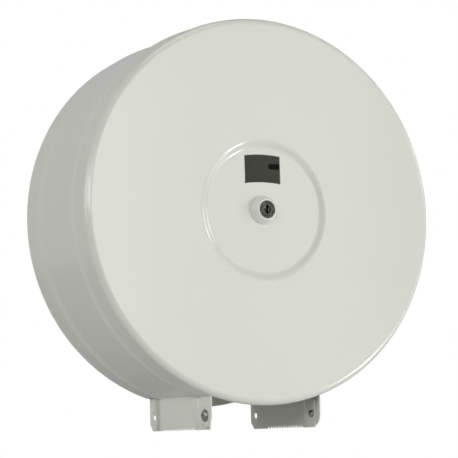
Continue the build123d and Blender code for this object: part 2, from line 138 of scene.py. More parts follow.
world = bpy.data.worlds.new("studio")
bpy.context.scene.world = world
world.use_nodes = True
sky = world.node_tree
ray = add(sky, "ShaderNodeLightPath").outputs
seen = maths(sky, "MAXIMUM", ray["Is Camera Ray"], ray["Is Transmission Ray"])
direction = add(sky, "ShaderNodeSeparateXYZ", {0: add(sky, "ShaderNodeTexCoord").outputs["Generated"]})
depth = add(sky, "ShaderNodeMapRange", {"Value": direction.outputs["Y"], "From Min": -1, "From Max": 1,
                                        "To Min": world_front, "To Max": world_back})
reflected = maths(sky, "MULTIPLY", depth.outputs["Result"], ray["Is Glossy Ray"])
level = maths(sky, "MAXIMUM", seen, reflected)
background = sky.nodes["Background"]
background.inputs["Color"].default_value = (1, 1, 1, 1)
sky.links.new(level, background.inputs["Strength"])
bpy.context.scene.view_settings.view_transform = "Standard"

# %% Lamps
aim_place = Vector((0, -0.06, 0))
lamp_distance = 2.2


def area_lamp(name, heading, rise, size, power):
    """A square lamp that faces the drum. A heading of 0 is the front and 90 the right."""
    lamp = bpy.data.lights.new(name, "AREA")
    lamp.shape = "SQUARE"
    lamp.size = size
    lamp.energy = power
    holder = new_object(name, lamp)
    heading = math.radians(heading)
    rise = math.radians(rise)
    away = Vector((
        math.sin(heading) * math.cos(rise),
        -math.cos(heading) * math.cos(rise),
        math.sin(rise),
    ))
    facing = away.to_track_quat("Z", "Y").to_matrix().to_4x4()
    holder.matrix_world = Matrix.Translation(aim_place + lamp_distance * away) @ facing
    return holder


area_lamp("key", 12, 5, 0.8, 2.8)
area_lamp("key_right", 21, 5, 1.0, 5.2)
area_lamp("key_low", 42, -12, 0.25, 10.0)
area_lamp("right", 62, 12, 0.4, 7.0)
area_lamp("right_low", 62, -12, 0.8, 7.0)
area_lamp("left_front", -38, 12, 0.6, 9.2)
area_lamp("left", -62, 12, 0.5, 6.9)
area_lamp("far_left", -90, 12, 0.8, 5.7)
area_lamp("left_rear", -120, 12, 0.8, 6.0)
area_lamp("top", 0, 75, 1.2, 10.9)

# A faint lamp inside the drum, which shows the pan and its slot through the window.
inner_lamp = area_lamp("inner", 0, 0, 0.04, 0.0029)
inner_lamp.location = (0.07, -0.085, 0.055)
inner_lamp.visible_camera = False

# %% [markdown]
# ## Floor
# The dispenser hangs at about hip height, so the floor is a pale sheet well below it. To the
# camera it glows almost as white as the ground of the picture, and in a reflection it is dimmer.


# %% Floor
def flat_sheet(name, corners, paint_name, colour):
    """A flat sheet, and the tree of its paint."""
    mesh = bpy.data.meshes.new(name)
    mesh.from_pydata(corners, [], [(0, 1, 2, 3)])
    paint = bpy.data.materials.new(paint_name)
    paint.use_nodes = True
    paint.node_tree.nodes["Principled BSDF"].inputs["Base Color"].default_value = colour
    mesh.materials.append(paint)
    return new_object(name, mesh), paint.node_tree


corner_signs = ((-1, -1), (1, -1), (1, 1), (-1, 1))
floor_drop = 0.95
floor_reach = 6.0
floor_glow = 0.85
floor_glow_mirrored = 0.225

floor_corners = [(x * floor_reach, y * floor_reach, -floor_drop) for x, y in corner_signs]
floor, paint = flat_sheet("floor", floor_corners, "floor_paint", (0.8, 0.8, 0.8, 1))
matt = paint.nodes["Principled BSDF"]
matt.inputs["Roughness"].default_value = 0.9
white = add(paint, "ShaderNodeEmission", {"Color": (1, 1, 1, 1), "Strength": 1})
ray = add(paint, "ShaderNodeLightPath").outputs
looked_at = maths(paint, "MULTIPLY", ray["Is Camera Ray"], floor_glow)
glow = maths(paint, "MULTIPLY_ADD", ray["Is Glossy Ray"], floor_glow_mirrored, looked_at)
lit = add(paint, "ShaderNodeMixShader", {0: glow, 1: matt.outputs[0], 2: white.outputs[0]})
paint.links.new(lit.outputs[0], paint.nodes["Material Output"].inputs["Surface"])

# %% [markdown]
# ## Painted shade behind the slots
# The screw slots in the pan look dark, and without something behind them they would show the white
# studio. A dark card just behind the pan is painted shade for them. It is smaller than the
# drum, so the pan hides it from the front. From behind it is clear, but it keeps the light off
# the middle of the pan's back, which looks black from there.

# %% Slot card
card_reach = 0.1
card_gap = 0.0006

card_corners = [(x * card_reach, card_gap, z * card_reach) for x, z in corner_signs]
# The card's near black colour is painted shade for the slots.
card, paint = flat_sheet("slot_card", card_corners, "card_paint", (0.1, 0.1, 0.095, 1))
painted_shade = paint.nodes["Principled BSDF"]
clear = add(paint, "ShaderNodeBsdfTransparent")
from_behind = add(paint, "ShaderNodeNewGeometry").outputs["Backfacing"]
one_sided = add(paint, "ShaderNodeMixShader", {0: from_behind, 1: painted_shade.outputs[0], 2: clear.outputs[0]})
paint.links.new(one_sided.outputs[0], paint.nodes["Material Output"].inputs["Surface"])

# %% [markdown]
# ## Shared surface effects
# A finish is never one flat value. Four small effects are used by more than one material, so
# each is a node group with named inputs: a slow drift of tone, the orange peel that powder
# leaves when it melts, fine scratches, and a mask along edges, which is wear on bare metal and a
# painted highlight on the coat. The last one reads a value named edge, which the meshes below carry at their
# rounded edges.


# %% Group helpers
def new_group(name, inputs, outputs):
    """A shader node group with these sockets, what it is given and what it hands back."""
    group = bpy.data.node_groups.new(name, "ShaderNodeTree")
    for label, kind, value in inputs:
        socket = group.interface.new_socket(label, in_out="INPUT", socket_type="NodeSocket" + kind)
        if value is not None:
            socket.default_value = value
    for label, kind in outputs:
        group.interface.new_socket(label, in_out="OUTPUT", socket_type="NodeSocket" + kind)
    return group, add(group, "NodeGroupInput").outputs, add(group, "NodeGroupOutput").inputs


def noise(tree, place, size, **look):
    """A noise whose features have this size."""
    spacing = maths(tree, "DIVIDE", 1, size)
    return add(tree, "ShaderNodeTexNoise", {"Vector": place, "Scale": spacing, **look}).outputs["Fac"]


# %% Tone drift
tone_drift, given, made = new_group("tone_drift", [
    ("Place", "Vector", None),
    ("Color", "Color", (1, 1, 1, 1)),
    ("Size", "Float", 0.05),
    ("Amount", "Float", 0.02),
], [("Color", "Color"), ("Value", "Float")])
clouds = noise(tone_drift, given["Place"], given["Size"], Detail=3, Roughness=0.55)
centred = maths(tone_drift, "SUBTRACT", clouds, 0.5)
factor = maths(tone_drift, "MULTIPLY_ADD", centred, given["Amount"], 1)
drifted = add(tone_drift, "ShaderNodeVectorMath", {0: given["Color"], "Scale": factor}, operation="SCALE")
tone_drift.links.new(drifted.outputs["Vector"], made["Color"])
tone_drift.links.new(clouds, made["Value"])

# %% Orange peel
orange_peel, given, made = new_group("orange_peel", [
    ("Place", "Vector", None),
    ("Grain", "Float", 0.0012),
], [("Height", "Float")])
long_waves = noise(orange_peel, given["Place"], given["Grain"], Detail=1, Roughness=0.4)
spacing = maths(orange_peel, "DIVIDE", 1, given["Grain"])
cells = add(orange_peel, "ShaderNodeTexVoronoi", {"Vector": given["Place"], "Scale": spacing},
            feature="SMOOTH_F1")
dimples = maths(orange_peel, "MULTIPLY", cells.outputs["Distance"], 0.4)
orange_peel.links.new(maths(orange_peel, "SUBTRACT", long_waves, dimples), made["Height"])

# %% Fine scratches
scratch_axis = (0.4, 0.8, 0.45)
scratch_stretch = (1, 14, 1)

fine_scratches, given, made = new_group("fine_scratches", [
    ("Place", "Vector", None),
    ("Length", "Float", 0.006),
    ("Turn", "Float", 0.6),
], [("Mask", "Float")])
turned = add(fine_scratches, "ShaderNodeVectorRotate",
             {"Vector": given["Place"], "Angle": given["Turn"], "Axis": scratch_axis})
stretched = add(fine_scratches, "ShaderNodeVectorMath", {0: turned.outputs[0], 1: scratch_stretch},
                operation="MULTIPLY")
streaks = noise(fine_scratches, stretched.outputs[0], given["Length"],
                Detail=4, Roughness=0.7, Distortion=0.3)
lines = add(fine_scratches, "ShaderNodeMapRange", {"Value": streaks, "From Min": 0.52, "From Max": 0.62})
fine_scratches.links.new(lines.outputs["Result"], made["Mask"])

# %% Edge wear and painted highlight
edge_wear, given, made = new_group("edge_wear", [
    ("Place", "Vector", None),
    ("Edge", "Float", 0),
    ("Grain", "Float", 0.0006),
], [("Mask", "Float")])
breakup = noise(edge_wear, given["Place"], given["Grain"], Detail=3)
edge_breakup = add(edge_wear, "ShaderNodeMapRange", {"Value": breakup, "From Min": 0.35, "From Max": 0.6})
# On the coat this mask draws a painted highlight along rounded edges.
edge_wear.links.new(maths(edge_wear, "MULTIPLY", edge_breakup.outputs["Result"], given["Edge"]), made["Mask"])
print("shared effects", [group.name for group in (tone_drift, orange_peel, fine_scratches, edge_wear)])

# %% [markdown]
# ## Finishes
# The sheet parts share one warm white powder coat: a satin skin with orange peel about a
# millimetre across and a lighter colour on its rounded edges, which is a painted highlight. The
# hardware is bare: dull rivets, bright zinc, worn plating on the lock whose near black colour is painted shade,
# and brass wafers darkened as painted shade in the keyway.


# %% Material helpers
def new_material(name, roughness, metallic=0):
    """A material, the inputs of its shader, its place on the object and its mesh's edge value."""
    material = bpy.data.materials.new(name)
    material.use_nodes = True
    tree = material.node_tree
    skin = tree.nodes["Principled BSDF"].inputs
    skin["Roughness"].default_value = roughness
    skin["Metallic"].default_value = metallic
    place = add(tree, "ShaderNodeTexCoord").outputs["Object"]
    edge = add(tree, "ShaderNodeAttribute", attribute_name="edge").outputs["Fac"]
    return material, tree, skin, place, edge


def use(tree, group, inputs):
    """Put a shared effect into a material."""
    return add(tree, "ShaderNodeGroup", inputs, node_tree=group).outputs


def between(tree, value, low, high):
    """A value from 0 to 1 carried over to a range from low to high."""
    return add(tree, "ShaderNodeMapRange", {"Value": value, "To Min": low, "To Max": high}).outputs["Result"]


def mixed(tree, mask, colour, other):
    """One colour where the mask is 0 and the other where it is 1."""
    return add(tree, "ShaderNodeMix", {0: mask, 6: colour, 7: other}, data_type="RGBA").outputs[2]


def relief(tree, height, depth):
    """The normals of a relief of this depth."""
    return add(tree, "ShaderNodeBump", {"Height": height, "Distance": depth, "Strength": 1}).outputs["Normal"]


# %% Powder coat
coat_colour = (0.76, 0.765, 0.698, 1)
# The edge colour is lighter than the coat: a painted highlight on rounded edges.
edge_highlight_colour = (0.84, 0.845, 0.78, 1)
peel_depth = 0.002 * MM

powder_coat, tree, skin, place, edge = new_material("powder_coat", 0.3)
drift = use(tree, tone_drift, {"Place": place, "Color": coat_colour, "Size": 0.06, "Amount": 0.015})
edge_highlight = use(tree, edge_wear, {"Place": place, "Edge": edge, "Grain": 0.002})
peel = use(tree, orange_peel, {"Place": place, "Grain": 0.0011})
# Rounded edges get the lighter colour, a painted highlight.
tree.links.new(mixed(tree, edge_highlight["Mask"], drift["Color"], edge_highlight_colour), skin["Base Color"])
tree.links.new(between(tree, drift["Value"], 0.12, 0.17), skin["Roughness"])
tree.links.new(relief(tree, peel["Height"], peel_depth), skin["Normal"])

# %% Moulded collar
collar_colour = (0.77, 0.77, 0.72, 1)
collar_peel_depth = 0.003 * MM

collar_plastic, tree, skin, place, edge = new_material("collar_plastic", 0.25)
drift = use(tree, tone_drift, {"Place": place, "Color": collar_colour, "Size": 0.01, "Amount": 0.03})
peel = use(tree, orange_peel, {"Place": place, "Grain": 0.0005})
tree.links.new(drift["Color"], skin["Base Color"])
tree.links.new(relief(tree, peel["Height"], collar_peel_depth), skin["Normal"])

# %% Bare metals
scratch_roughness = 0.12
scratch_depth = 0.002 * MM


def bare_metal(name, colour, worn_colour, smooth, rough, mottle_size, mottle_amount):
    """A metal with a mottled tone, a roughness that scratches break up and brighter worn edges."""
    material, tree, skin, place, edge = new_material(name, rough, metallic=1)
    drift = use(tree, tone_drift,
                {"Place": place, "Color": colour, "Size": mottle_size, "Amount": mottle_amount})
    edge_breakup = use(tree, edge_wear, {"Place": place, "Edge": edge, "Grain": 0.0007})
    scratches = use(tree, fine_scratches, {"Place": place, "Length": 0.005, "Turn": 0.7})
    roughness = between(tree, drift["Value"], smooth, rough)
    scratched = maths(tree, "MULTIPLY_ADD", scratches["Mask"], scratch_roughness, roughness)
    tree.links.new(mixed(tree, edge_breakup["Mask"], drift["Color"], worn_colour), skin["Base Color"])
    tree.links.new(scratched, skin["Roughness"])
    tree.links.new(relief(tree, scratches["Mask"], scratch_depth), skin["Normal"])
    return material


zinc_plate = bare_metal(
    "zinc_plate", (0.52, 0.53, 0.54, 1), (0.68, 0.68, 0.68, 1),
    smooth=0.24, rough=0.46, mottle_size=0.004, mottle_amount=0.25)
rivet_metal = bare_metal(
    "rivet_metal", (0.28, 0.28, 0.26, 1), (0.5, 0.5, 0.48, 1),
    smooth=0.26, rough=0.42, mottle_size=0.0011, mottle_amount=0.9)
# The plating's near black colour is painted shade, for the dark that the lock reflects.
worn_plating = bare_metal(
    "worn_plating", (0.066, 0.068, 0.058, 1), (0.3, 0.29, 0.27, 1),
    smooth=0.08, rough=0.2, mottle_size=0.003, mottle_amount=0.3)
# The wafers' dark brown is painted shade, so that the keyway looks black.
wafer_brass = bare_metal(
    "wafer_brass", (0.2, 0.15, 0.07, 1), (0.45, 0.36, 0.18, 1),
    smooth=0.3, rough=0.45, mottle_size=0.002, mottle_amount=0.2)

# %% Washer nylon
nylon_colour = (0.8, 0.79, 0.73, 1)

washer_nylon, tree, skin, place, edge = new_material("washer_nylon", 0.5)
drift = use(tree, tone_drift, {"Place": place, "Color": nylon_colour, "Size": 0.004, "Amount": 0.06})
tree.links.new(drift["Color"], skin["Base Color"])
skin["Subsurface Weight"].default_value = 0.15
skin["Subsurface Radius"].default_value = (0.001, 0.001, 0.001)

# %% A finish for each slot
finish_of_slot = {
    "white_powder_coat": powder_coat,
    "white_plastic": collar_plastic,
    "zinc_plated_steel": zinc_plate,
    "rivet_steel": rivet_metal,
    "lock_chrome": worn_plating,
    "brass": wafer_brass,
    "nylon": washer_nylon,
}
for name, node in frame["nodes"].items():
    node.data.materials.clear()
    node.data.materials.append(finish_of_slot[slot_of_node[name]])
print("finishes", [material.name for material in finish_of_slot.values()])

# %% [markdown]
# ## Sizes
# The drum's sizes come twice: the frame gives the places where pieces start and end, and the
# few sizes that a box can't show, such as bends, are named here. The shells, the brackets and
# the ears are of sheet steel one millimetre thick, so one sheet size serves them all.

# %% Sizes
sheet = 1.0 * MM
bend = 1.0 * MM
seat_gap = 0.05 * MM
overrun = 1.0 * MM
drum_radius = 152.0 * MM
wall_radius = 151.2 * MM
front_edge = 5.0 * MM
joggle = 1.5 * MM
seam_gap = 0.5 * MM
plate_outer_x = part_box("right_tear_bracket")[0].x + sheet + joggle
mouth_half = plate_outer_x + seat_gap
mouth_top = -math.sqrt((drum_radius - front_edge) ** 2 - mouth_half**2)
front_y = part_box("cover_shell")[0].y
lip_end_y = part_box("cover_shell")[1].y
wall_front_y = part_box("drum_wall")[0].y
wall_rear_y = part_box("drum_wall")[1].y
pan_rim_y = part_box("back_pan")[0].y
rim_y = wall_front_y - seam_gap
print("front", round(front_y / MM, 2), "rim", round(rim_y / MM, 2), "rear", round(wall_rear_y / MM, 2))

# %% [markdown]
# ## Spun sheet
# The cover, the ring and the pan are all spun: one bent line turned once round the drum's axis.
# That is a rule, so Geometry Nodes make it. The tree places the corners of the line by named
# radii and depths, rounds each corner by its own bend, and sweeps the line round a circle. Only
# the skin is made this way. Solidify then gives it the thickness of the sheet.


# %% Spun line tree
turn_radius = 10 * MM
merge_distance = 0.001 * MM


def new_tree(name, inputs):
    """A Geometry Nodes tree with these inputs and a finish, and what it is given."""
    tree = bpy.data.node_groups.new(name, "GeometryNodeTree")
    tree.is_modifier = True
    for label, kind in inputs:
        socket = tree.interface.new_socket(label, in_out="INPUT", socket_type="NodeSocket" + kind)
        if kind == "Float":
            socket.subtype = "DISTANCE"
    tree.interface.new_socket("finish", in_out="INPUT", socket_type="NodeSocketMaterial")
    tree.interface.new_socket("Geometry", in_out="OUTPUT", socket_type="NodeSocketGeometry")
    return tree, add(tree, "NodeGroupInput").outputs


def hand_over(tree, given, geometry):
    """End a tree: its instances are made real and get their finish."""
    whole = add(tree, "GeometryNodeRealizeInstances", {"Geometry": geometry})
    coated = add(tree, "GeometryNodeSetMaterial", {"Geometry": whole.outputs[0], "Material": given["finish"]})
    add(tree, "NodeGroupOutput", {"Geometry": coated.outputs[0]})
    return tree


def spun_tree(name, corners, turns, bend_steps):
    """A tree that turns a line round the Y axis. A corner is three names: radius, depth and bend."""
    sizes = dict.fromkeys(size for corner in corners for size in corner if size)
    tree, given = new_tree(name, [(size, "Float") for size in sizes])
    index = add(tree, "GeometryNodeInputIndex").outputs[0]
    places = add(tree, "GeometryNodeIndexSwitch", data_type="VECTOR")
    bends = add(tree, "GeometryNodeIndexSwitch", data_type="FLOAT")
    for switch in (places, bends):
        for _ in corners[2:]:
            switch.index_switch_items.new()
        tree.links.new(index, switch.inputs["Index"])
    for number, (radius, depth, bend_name) in enumerate(corners, start=1):
        corner = add(tree, "ShaderNodeCombineXYZ", {"Y": given[depth]})
        if radius:
            tree.links.new(given[radius], corner.inputs["X"])
        tree.links.new(corner.outputs[0], places.inputs[number])
        if bend_name:
            tree.links.new(given[bend_name], bends.inputs[number])
    start = add(tree, "GeometryNodeCurvePrimitiveLine")
    counted = add(tree, "GeometryNodeResampleCurve", {"Curve": start.outputs[0], "Count": len(corners)})
    placed = add(tree, "GeometryNodeSetPosition",
                 {"Geometry": counted.outputs[0], "Position": places.outputs[0]})
    bent = add(tree, "GeometryNodeFilletCurve", {"Curve": placed.outputs[0], "Radius": bends.outputs[0],
                                                 "Limit Radius": True, "Count": bend_steps}, mode="POLY")
    moved = add(tree, "GeometryNodeTransform",
                {"Geometry": bent.outputs[0], "Translation": (-turn_radius, 0, 0)})
    ring = add(tree, "GeometryNodeCurvePrimitiveCircle", {"Resolution": turns, "Radius": turn_radius})
    swept = add(tree, "GeometryNodeCurveToMesh",
                {"Curve": ring.outputs[0], "Profile Curve": moved.outputs[0]})
    upright = add(tree, "GeometryNodeTransform",
                  {"Geometry": swept.outputs[0], "Rotation": (math.pi / 2, 0, 0)})
    closed = add(tree, "GeometryNodeMergeByDistance",
                 {"Geometry": upright.outputs[0], "Distance": merge_distance})
    return hand_over(tree, given, closed.outputs[0])


def grow(name, tree, sizes, finish, mesh=None):
    """A new object whose mesh a tree makes from these sizes."""
    piece = new_object(name, mesh or bpy.data.meshes.new(name))
    modifier = piece.modifiers.new(tree.name, "NODES")
    modifier.node_group = tree
    sockets = {item.name: item.identifier for item in tree.interface.items_tree if item.in_out == "INPUT"}
    for size, value in {**sizes, "finish": finish}.items():
        modifier[sockets[size]] = value
    return piece


# %% [markdown]
# ## Cutting and settling
# Holes and the mouth are cut with closed blocks. A block is an outline and two depths. A freshly
# cut sheet has razor edges, which no painted sheet has, so every sharp edge is rounded by a
# quarter of a millimetre, or less if it is small.


# %% Outlines
def rounded(corners, radius, closed=True, step=math.radians(12)):
    """A flat outline, or an open line, with its corners rounded."""
    corners = [Vector(corner) for corner in corners]
    points = []
    for number, corner in enumerate(corners):
        if not closed and number in (0, len(corners) - 1):
            points.append(corner)
            continue
        back = (corners[number - 1] - corner).normalized()
        ahead = (corners[(number + 1) % len(corners)] - corner).normalized()
        half = back.angle(ahead) / 2
        reach = radius / math.tan(half)
        middle = corner + (back + ahead).normalized() * (radius / math.sin(half))
        first = corner + back * reach - middle
        last = corner + ahead * reach - middle
        turn = first.angle_signed(last)
        count = max(2, math.ceil(abs(turn) / step))
        for part in range(count + 1):
            points.append(middle + Matrix.Rotation(-turn * part / count, 2) @ first)
    return points


def arc(middle, radius, start, end, count):
    """Points along an arc, from one angle to the other."""
    across, up_by = middle
    angles = [start + (end - start) * part / count for part in range(count + 1)]
    return [Vector((across + radius * math.cos(angle), up_by + radius * math.sin(angle))) for angle in angles]


def circle(middle, radius, count):
    """The outline of a round hole or pin."""
    return arc(middle, radius, 0, 2 * math.pi, count)[:-1]


def rectangle(left, first, right, last):
    """The outline of an upright rectangle, from its first level to its last."""
    return [(left, first), (right, first), (right, last), (left, last)]


def bowed(start, end, rise, count=10):
    """Points along a shallow arc between two points of equal height, which rises in the middle."""
    half = (end[0] - start[0]) / 2
    radius = (half**2 + rise**2) / (2 * rise)
    middle = ((start[0] + end[0]) / 2, start[1] + rise - radius)
    lean = math.asin(half / radius)
    return arc(middle, radius, math.pi / 2 + lean, math.pi / 2 - lean, count)


def thickened(line, thickness):
    """The closed outline of a sheet whose outer face follows this line, with the sheet on its left."""
    inner = []
    for number, point in enumerate(line):
        before = (point - line[number - 1]).normalized() if number else None
        after = (line[number + 1] - point).normalized() if number + 1 < len(line) else None
        along = ((before or after) + (after or before)).normalized()
        stretch = along.dot(before or after)
        inner.append(point + Vector((-along.y, along.x)) * (thickness / stretch))
    return line + inner[::-1]


# %% Blocks and cuts
def block(name, outline, across, start, end):
    """A closed block: an outline seen along the axis named by across, from start to end."""
    count = len(outline)
    axis = "xyz".index(across)
    points = [(*corner[:axis], depth, *corner[axis:]) for depth in (start, end) for corner in outline]
    sides = [(i, (i + 1) % count, (i + 1) % count + count, i + count) for i in range(count)]
    mesh = bpy.data.meshes.new(name)
    mesh.from_pydata(points, [], [tuple(range(count)), tuple(range(count, 2 * count)), *sides])
    shape = bmesh.new()
    shape.from_mesh(mesh)
    bmesh.ops.remove_doubles(shape, verts=shape.verts, dist=2 * merge_distance)
    bmesh.ops.recalc_face_normals(shape, faces=shape.faces)
    shape.to_mesh(mesh)
    shape.free()
    return new_object(name, mesh)


def centred_block(name, width, height, start, end):
    """A block round the drum's axis with this width and height, from start to end."""
    return block(name, rectangle(-width / 2, -height / 2, width / 2, height / 2), "y", start, end)


def combine(piece, *others, how="DIFFERENCE"):
    """Cut other blocks out of a piece, or join or intersect them with it."""
    for other in others:
        modifier = piece.modifiers.new(how.lower(), "BOOLEAN")
        modifier.operation = how
        modifier.solver = "EXACT"
        modifier.object = other


def settle(piece, *tools):
    """Turn a piece with its modifiers into a plain mesh, and remove the blocks that cut it."""
    bpy.context.view_layer.update()
    mesh = bpy.data.meshes.new_from_object(piece.evaluated_get(bpy.context.evaluated_depsgraph_get()))
    piece.modifiers.clear()
    piece.data = mesh
    mesh.name = piece.name
    for tool in tools:
        bpy.data.objects.remove(tool)


# %% Rounded edges
edge_round = 0.25 * MM
edge_steps = 2
sharp_angle = math.radians(38)
level_angle = math.radians(0.3)
seam_distance = 0.02 * MM


def soften(piece, width=edge_round):
    """Round the sharp edges of a piece and give the new faces the value edge."""
    shape = bmesh.new()
    shape.from_mesh(piece.data)
    edge = shape.faces.layers.float.new("edge")
    bmesh.ops.remove_doubles(shape, verts=shape.verts, dist=seam_distance)
    bmesh.ops.dissolve_limit(shape, angle_limit=level_angle, verts=shape.verts, edges=shape.edges)
    sharp = [side for side in shape.edges if side.is_manifold and side.calc_face_angle() > sharp_angle]
    made = bmesh.ops.bevel(shape, geom=sharp, offset=width, offset_type="OFFSET", segments=edge_steps,
                           profile=0.5, affect="EDGES", clamp_overlap=False)
    for face in made["faces"]:
        face[edge] = 1
    if shape.calc_volume(signed=True) < 0:
        bmesh.ops.reverse_faces(shape, faces=shape.faces)
    loose = sum(1 for side in shape.edges if not side.is_manifold)
    shape.to_mesh(piece.data)
    shape.free()
    piece.data.shade_smooth()
    weighted = piece.modifiers.new("weighted", "WEIGHTED_NORMAL")
    weighted.weight = 90
    settle(piece)
    print(piece.name, "edges rounded", len(sharp), "open edges", loose, "triangles",
          sum(len(face.vertices) - 2 for face in piece.data.polygons))


def stands_for(piece, node):
    """Let a finished piece ride on its body in place of a node of the frame."""
    if not piece.data.materials:
        piece.data.materials.append(finish_of_slot[slot_of_node[node]])
    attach(piece, body_of_node[node])
    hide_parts(node)


def complete(piece, node, *tools, width=edge_round):
    """Settle a piece, round its edges and let it stand for a node."""
    settle(piece, *tools)
    soften(piece, width)
    stands_for(piece, node)


# %% [markdown]
# ## Cover
# The cover is one pressed disc: a sunk centre, a rounded front edge, a band that flares a little
# at its rim, and a lip that nests inside the ring. Its line has eight corners. The mouth, the
# sight window and the hole for the lock are cut after it is spun.

# %% Cover skin
drum_turns = 240
recess_depth = 2.7 * MM
recess_radius = 54.6 * MM
recess_slope = 4.5 * MM
recess_y = front_y + recess_depth
lip_gap = 0.6 * MM
rim_flare = 1.0 * MM
rim_flare_length = 6.0 * MM

cover_corners = [
    (None, "recess depth", None),
    ("recess foot", "recess depth", "recess bend"),
    ("recess edge", "face depth", "recess crest"),
    ("drum radius", "face depth", "front edge"),
    ("drum radius", "flare depth", "seam bend"),
    ("rim radius", "rim depth", None),
    ("lip radius", "rim depth", "lip bend"),
    ("lip radius", "lip depth", None),
]
cover_sizes = {
    "recess foot": recess_radius - recess_slope,
    "recess edge": recess_radius,
    "drum radius": drum_radius,
    "rim radius": drum_radius + rim_flare,
    "lip radius": wall_radius - sheet - lip_gap,
    "recess depth": recess_y,
    "face depth": front_y,
    "flare depth": rim_y - rim_flare_length,
    "rim depth": rim_y,
    "lip depth": lip_end_y,
    "recess bend": 6.0 * MM,
    "recess crest": 8.0 * MM,
    "front edge": front_edge,
    "seam bend": 2.0 * MM,
    "lip bend": 1.0 * MM,
}
cover_tree = spun_tree("spun_cover", cover_corners, drum_turns, bend_steps=7)
cover = grow("cover", cover_tree, cover_sizes, powder_coat)


# %% Sheet thickness
def give_thickness(piece, inwards=True):
    """Turn a skin into a sheet, on its inner side or its outer side."""
    modifier = piece.modifiers.new("sheet", "SOLIDIFY")
    modifier.thickness = sheet
    modifier.offset = -1 if inwards else 1
    modifier.use_even_offset = True


give_thickness(cover)

# %% Cover cuts
window_half = 15.8 * MM
window_low = 20.9 * MM
window_high = 42.7 * MM
window_crown = 1.2 * MM
lock_hole_radius = 6.1 * MM
lock_flat = 5.1 * MM
mouth_setback = 6.2 * MM
lip_setback = 3.0 * MM

window = block(
    "window_block",
    bowed((-window_half, window_high), (window_half, window_high), window_crown)
    + bowed((-window_half, window_low), (window_half, window_low), window_crown)[::-1],
    "y", front_y - overrun, recess_y + 2 * sheet,
)
flat_angle = math.acos(lock_flat / lock_hole_radius)
lock_outline = (arc((0, 0), lock_hole_radius, flat_angle, math.pi - flat_angle, 16)
                + arc((0, 0), lock_hole_radius, math.pi + flat_angle, 2 * math.pi - flat_angle, 16))
lock_hole = block("lock_block", lock_outline, "y", front_y - overrun, recess_y + 2 * sheet)


def mouth_block(name, half_width, start_y, end_y):
    """The block that cuts the paper mouth out of a shell."""
    outline = rectangle(-half_width, mouth_top, half_width, -2 * drum_radius)
    return block(name, outline, "y", start_y, end_y)


band_mouth = mouth_block("band_mouth", mouth_half, front_y + mouth_setback, 0)
lip_mouth = mouth_block("lip_mouth", mouth_half + lip_setback, rim_y, 0)
cover_tools = [window, lock_hole, band_mouth, lip_mouth]
combine(cover, *cover_tools)
complete(cover, "cover_shell", *cover_tools)

# %% [markdown]
# ## Wall ring and rear pan
# The ring is a rolled strip that widens at the rear, so that the pan slips inside it. The pan is
# a shallow dish that lies against the wall, with a raised middle for the spindle's rivets.

# %% Wall ring
rear_flare_slope = 8.0 * MM
rear_flare_length = 4.0 * MM
flare_start_y = wall_rear_y - rear_flare_length - rear_flare_slope
ring_corners = [
    ("ring radius", "front depth", None),
    ("ring radius", "flare start", "ring bend"),
    ("flared radius", "flare end", "ring bend"),
    ("flared radius", "rear depth", None),
]
ring_sizes = {
    "ring radius": wall_radius,
    "flared radius": wall_radius + sheet,
    "front depth": wall_front_y,
    "flare start": flare_start_y,
    "flare end": flare_start_y + rear_flare_slope,
    "rear depth": wall_rear_y,
    "ring bend": 2.0 * MM,
}
ring_tree = spun_tree("spun_ring", ring_corners, drum_turns, bend_steps=7)
ring = grow("wall_ring", ring_tree, ring_sizes, powder_coat)
give_thickness(ring)
ring_mouth = mouth_block("ring_mouth", mouth_half, 2 * front_y, 0)
combine(ring, ring_mouth)
complete(ring, "drum_wall", ring_mouth)

# %% Rear pan
plateau_rise = 3.0 * MM
pan_corners = [
    (None, "plateau depth", None),
    ("plateau radius", "plateau depth", "plateau crest"),
    ("foot radius", "wall depth", "plateau foot"),
    ("pan radius", "wall depth", "pan edge"),
    ("pan radius", "rim depth", None),
]
pan_sizes = {
    "plateau radius": 44.0 * MM,
    "foot radius": 48.0 * MM,
    "pan radius": wall_radius - seat_gap,
    "plateau depth": -plateau_rise,
    "wall depth": 0.0,
    "rim depth": pan_rim_y,
    "plateau crest": 2.0 * MM,
    "plateau foot": 1.0 * MM,
    "pan edge": 2.5 * MM,
}
pan_tree = spun_tree("spun_pan", pan_corners, drum_turns, bend_steps=7)
pan = grow("rear_pan", pan_tree, pan_sizes, powder_coat)
give_thickness(pan, inwards=False)

slot_half = 6.6 * MM
slot_radius = 2.4 * MM
slot_spacing = (160.0 * MM, 105.8 * MM)
rivet_circle = 29.0 * MM
pan_rivet_hole = 2.05 * MM
slot_outline = (arc((slot_half, 0), slot_radius, -math.pi / 2, math.pi / 2, 12)
                + arc((-slot_half, 0), slot_radius, math.pi / 2, 3 * math.pi / 2, 12))
pan_tools = [mouth_block("pan_mouth", mouth_half, 2 * front_y, -sheet)]
for side in (-1, 1):
    for level_sign in (-1, 1):
        shift = Vector((side * slot_spacing[0] / 2, level_sign * slot_spacing[1] / 2))
        outline = [point + shift for point in slot_outline]
        pan_tools.append(block("slot_block", outline, "y", -2 * plateau_rise, overrun))
for quarter in range(4):
    turn = quarter * math.pi / 2
    hole = circle((rivet_circle * math.cos(turn), rivet_circle * math.sin(turn)), pan_rivet_hole, 24)
    pan_tools.append(block("rivet_block", hole, "y", -3 * plateau_rise, overrun))
combine(pan, *pan_tools)
complete(pan, "back_pan", *pan_tools)

# %% [markdown]
# ## Copies
# Teeth, wafers, rivets and grub screws are each one shape many times over. Two small trees place the
# copies: one in a row with a fixed step, one in a ring round the drum's axis. The first copy is
# modelled where it belongs, so neither tree needs to know more than a count and a step.


